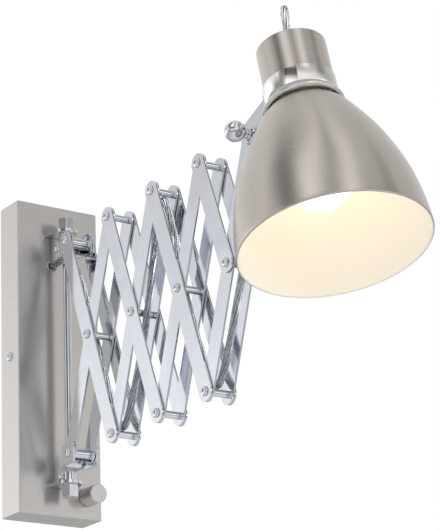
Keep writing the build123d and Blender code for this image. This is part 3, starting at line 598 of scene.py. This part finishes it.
# A round bar along each of the lines.
def roundBars(name, lines, radius, sides):
    curve = bpy.data.curves.new(name, "CURVE")
    curve.dimensions = "3D"
    curve.bevel_depth = radius * mm
    curve.bevel_resolution = sides
    curve.use_fill_caps = True
    for line in lines:
        spline = curve.splines.new("POLY")
        spline.points.add(len(line) - 1)
        for point, place in zip(spline.points, line):
            point.co = (*place, 1)
    bars = bpy.data.objects.new(name, curve)
    bpy.context.scene.collection.objects.link(bars)
    mesh = bpy.data.meshes.new_from_object(bars)
    bpy.data.objects.remove(bars)
    bm = bmesh.new()
    bm.from_mesh(mesh)
    bpy.data.meshes.remove(mesh)
    bmesh.ops.remove_doubles(bm, verts=bm.verts, dist=weld)
    bmesh.ops.recalc_face_normals(bm, faces=bm.faces)
    return bm


# The cores wind round the line; where one stretch stops, the next goes on with the same twist.
def coreLines(line, plan, side, travelled):
    cores = [[] for _ in range(plan["cores"])]
    way = (line[1] - line[0]).normalized()
    before = line[0]
    for i, place in enumerate(line):
        ahead = line[min(i + 1, len(line) - 1)] - line[max(i - 1, 0)]
        side.rotate(way.rotation_difference(ahead))
        way = ahead.normalized()
        side = (side - way * side.dot(way)).normalized()
        travelled += (place - before).length
        before = place
        for number, core in enumerate(cores):
            angle = tau * (travelled / (plan["lay"] * mm) + number / plan["cores"])
            outward = side * cos(angle) + way.cross(side) * sin(angle)
            core.append(place + outward * plan["coreOut"] * mm)
    return cores, side, travelled


# Lays every stretch and gives their lengths.
def makeCable(plan):
    names = list(plan["corners"])
    corners = {name: [Vector(point) * mm for point in plan["corners"][name]] for name in names}
    start = Vector(plan["start"]) * mm
    side, travelled = Vector((1, 0, 0)), 0.0
    lengths = {}
    for name, following in zip(names, names[1:] + [None]):
        end = (corners[name][-1] + corners[following][0]) / 2 if following else Vector(plan["end"]) * mm
        line = routeLine([start] + corners[name] + [end], plan)
        cores, side, travelled = coreLines(line, plan, side, travelled)
        wires = roundBars("cores", cores, plan["coreRadius"], plan["coreSides"])
        tube = roundBars("sheath", [line], plan["radius"], plan["sheathSides"])
        strands = addPiece(name + "_cores", wires, "tinnedCopper")
        sheath = addPiece(name + "_sheath", tube, "clearSheath", nodes=[name])
        for piece in (sheath, strands):
            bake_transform(piece)
        length = sum((b - a).length for a, b in zip(line, line[1:]))
        lengths[name] = round(length, 3)
        start = end
    return lengths


print("cable laid", makeCable(cablePlan))

# Light, floor and the white room that the metal mirrors.
studioPlan = {
    "floorHeight": -1.25, "floorSize": 40.0,    # m
    "floorColour": "F2F2F2", "floorRoughness": 0.9,
    "floorGlow": 0.3,                           # lifts the floor's grey towards the white behind it
    "front": (-0.573, -0.819, 0),               # the side that the photograph was taken from
    "left": (-0.819, 0.573, 0),
    # What metal mirrors, as light by direction: for a few heights, straight down -1 to straight up 1,
    # brightness by angle round the lamp in degrees, 0 towards the front and positive to the left.
    # It began as a fit of brightness to the photographed tones of the metal, and was redrawn as panels.
    "room": {
        -0.75: [(-180, 0.60), (-70, 0.20), (0, 0.10), (60, 0.25), (110, 0.50), (150, 0.50)],
        -0.20: [(-180, 0.90), (-120, 0.50), (-85, 0.30), (-76, 0.10), (-60, 0.10), (-48, 0.95), (-28, 0.90),
               (-18, 0.10), (12, 0.10), (22, 1.20), (40, 1.40), (52, 0.30), (80, 0.30), (98, 1.60),
               (120, 1.60), (150, 0.80)],
        0.05: [(-180, 1.00), (-120, 0.77), (-90, 0.90), (-70, 2.00), (-45, 1.20), (-28, 1.05), (-14, 1.00),
               (8, 1.00), (20, 1.30), (38, 1.50), (50, 0.40), (75, 0.40), (95, 1.50), (110, 1.90),
               (150, 1.15)],
        0.25: [(-180, 0.97), (-120, 0.73), (-90, 0.55), (-68, 0.72), (-45, 0.95), (-28, 1.05), (-12, 1.10),
               (5, 1.10), (8, 0.08), (11, 0.18), (36, 0.20), (41, 0.06), (44, 0.30), (60, 0.40), (64, 0.95),
               (94, 1.02), (110, 1.12), (150, 1.00)],
        0.40: [(-180, 0.95), (-120, 0.68), (-90, 0.56), (-68, 0.28), (-45, 0.70), (-10, 0.62), (6, 0.60),
               (8, 0.06), (11, 0.14), (36, 0.16), (40, 0.05), (43, 0.20), (58, 0.28), (62, 0.85),
               (95, 0.80), (110, 0.62), (150, 0.88)],
        0.62: [(-180, 0.90), (-150, 0.88), (-120, 0.64), (-99, 0.68), (-92, 0.40), (-70, 0.32), (-55, 0.45),
               (-40, 0.48), (-34, 0.80), (-25, 1.35), (-14, 1.05), (-2, 0.38), (8, 0.60), (19, 1.25),
               (30, 1.65), (40, 1.35), (48, 0.60), (57, 0.22), (68, 0.15), (80, 0.30), (98, 0.98),
               (112, 0.80), (125, 0.88), (150, 0.88)],
        0.78: [(-180, 0.85), (-115, 0.72), (-99, 0.78), (-94, 0.20), (-86, 0.20), (-81, 0.75), (-60, 0.58),
               (-46, 0.50), (-36, 0.85), (-24, 1.40), (-10, 0.95), (2, 0.38), (12, 0.48), (22, 0.95),
               (34, 1.35), (44, 1.35), (54, 0.75), (66, 0.22), (78, 0.12), (90, 0.40), (104, 0.85),
               (150, 0.87)],
        0.90: [(-180, 0.80), (-115, 0.68), (-85, 0.75), (-70, 0.75), (-56, 1.05), (-44, 1.25), (-31, 0.75),
               (-18, 0.45), (-4, 0.45), (12, 0.85), (24, 1.25), (34, 1.35), (46, 0.95), (60, 0.42),
               (74, 0.18), (82, 0.25), (92, 0.50), (112, 0.85), (150, 0.85)],
    },
    "brightest": 2.0,                           # no panel is brighter
    "softFill": 0.55, "softTint": (0.93, 0.95, 0.98, 1),        # light from all round on what isn't metal
    "aim": (0, -0.28, 0),                       # the lamps look at the middle of the arm
    "lamps": {                                  # place and size in m, power in W
        "keyLight": ((-1.6, -1.9, 0.9), (0.7, 1.6), 26),
        "fillLight": ((1.5, -1.6, 0.3), (0.5, 1.8), 12),
        "topLight": ((0.1, -0.6, 1.5), (1.2, 1.2), 10),
    },
}


# Painted board, dead matt: a pale grey that takes the lamp's shadow and nearly joins the white behind it.
def makeFloor(plan):
    bm = bmesh.new()
    bmesh.ops.create_grid(bm, x_segments=1, y_segments=1, size=plan["floorSize"] / 2,
                          matrix=Matrix.Translation((0, 0, plan["floorHeight"])))
    floor = meshObject("floor", bm)
    material, tree = startMaterial("paleFloor")
    seen = addNode(tree, "ShaderNodeLightPath").outputs["Is Camera Ray"]
    glow = addNode(tree, "ShaderNodeMath", {0: seen, 1: plan["floorGlow"]}, operation="MULTIPLY")
    endMaterial(tree, {"Base Color": linear(plan["floorColour"]), "Roughness": plan["floorRoughness"],
                       "Emission Strength": glow.outputs[0]})
    floor.data.materials.append(material)


# A soft panel of light. Metal doesn't mirror it, since the room has its own panels.
def makeLamp(name, place, size, power, target):
    data = bpy.data.lights.new(name, "AREA")
    data.shape = "RECTANGLE"
    data.size, data.size_y = size
    data.energy = power
    lamp = bpy.data.objects.new(name, data)
    bpy.context.scene.collection.objects.link(lamp)
    lamp.visible_glossy = False
    aim = Vector(target) - Vector(place)
    lamp.matrix_world = Matrix.Translation(place) @ aim.to_track_quat("-Z", "Y").to_matrix().to_4x4()


# White to the camera and through glass, the room to metal, and a soft fill to everything else.
def makeWorld(plan):
    world = bpy.data.worlds.new("studio")
    bpy.context.scene.world = world
    world.use_nodes = True
    tree = world.node_tree
    tree.nodes.clear()
    direction = addNode(tree, "ShaderNodeTexCoord").outputs["Generated"]
    ahead, aside, upward = (addNode(tree, "ShaderNodeVectorMath", {0: direction, 1: way},
                                    operation="DOT_PRODUCT").outputs["Value"]
                            for way in (plan["front"], plan["left"], (0, 0, 1)))
    angle = addNode(tree, "ShaderNodeMath", {0: aside, 1: ahead}, operation="ARCTAN2")
    turn = addNode(tree, "ShaderNodeMapRange", {"Value": angle.outputs[0], "From Min": -pi, "From Max": pi})
    brightest = plan["brightest"]
    room, lower = None, None
    for level, panels in plan["room"].items():
        # a ramp holds 1 at most, so it holds each brightness as a share of the brightest
        shares = [(degrees / 360 + 0.5, bright / brightest)
                  for degrees, bright in panels + [(180, panels[0][1])]]
        ring = addNode(tree, "ShaderNodeValToRGB", {"Fac": turn.outputs[0]},
                       stops=[(place, (grey, grey, grey, 1)) for place, grey in shares]).outputs[0]
        if room:
            share = addNode(tree, "ShaderNodeMapRange",
                            {"Value": upward, "From Min": lower, "From Max": level})
            ring = addNode(tree, "ShaderNodeMixRGB",
                           {"Fac": share.outputs[0], "Color1": room, "Color2": ring}).outputs[0]
        room, lower = ring, level
    path = addNode(tree, "ShaderNodeLightPath").outputs
    mirrored = addNode(tree, "ShaderNodeBackground", {"Color": room, "Strength": brightest})
    soft = addNode(tree, "ShaderNodeBackground", {"Color": plan["softTint"], "Strength": plan["softFill"]})
    white = addNode(tree, "ShaderNodeBackground", {"Color": (1, 1, 1, 1), "Strength": 1.0})
    clear = addNode(tree, "ShaderNodeMath", {0: path["Is Camera Ray"], 1: path["Is Transmission Ray"]},
                    operation="MAXIMUM")
    unseen = addNode(tree, "ShaderNodeMixShader",
                     {0: path["Is Glossy Ray"], 1: soft.outputs[0], 2: mirrored.outputs[0]})
    whole = addNode(tree, "ShaderNodeMixShader",
                    {0: clear.outputs[0], 1: unseen.outputs[0], 2: white.outputs[0]})
    addNode(tree, "ShaderNodeOutputWorld", {"Surface": whole.outputs[0]})


makeFloor(studioPlan)
for lampName, (place, size, power) in studioPlan["lamps"].items():
    makeLamp(lampName, place, size, power, studioPlan["aim"])
makeWorld(studioPlan)
print("studio lit")
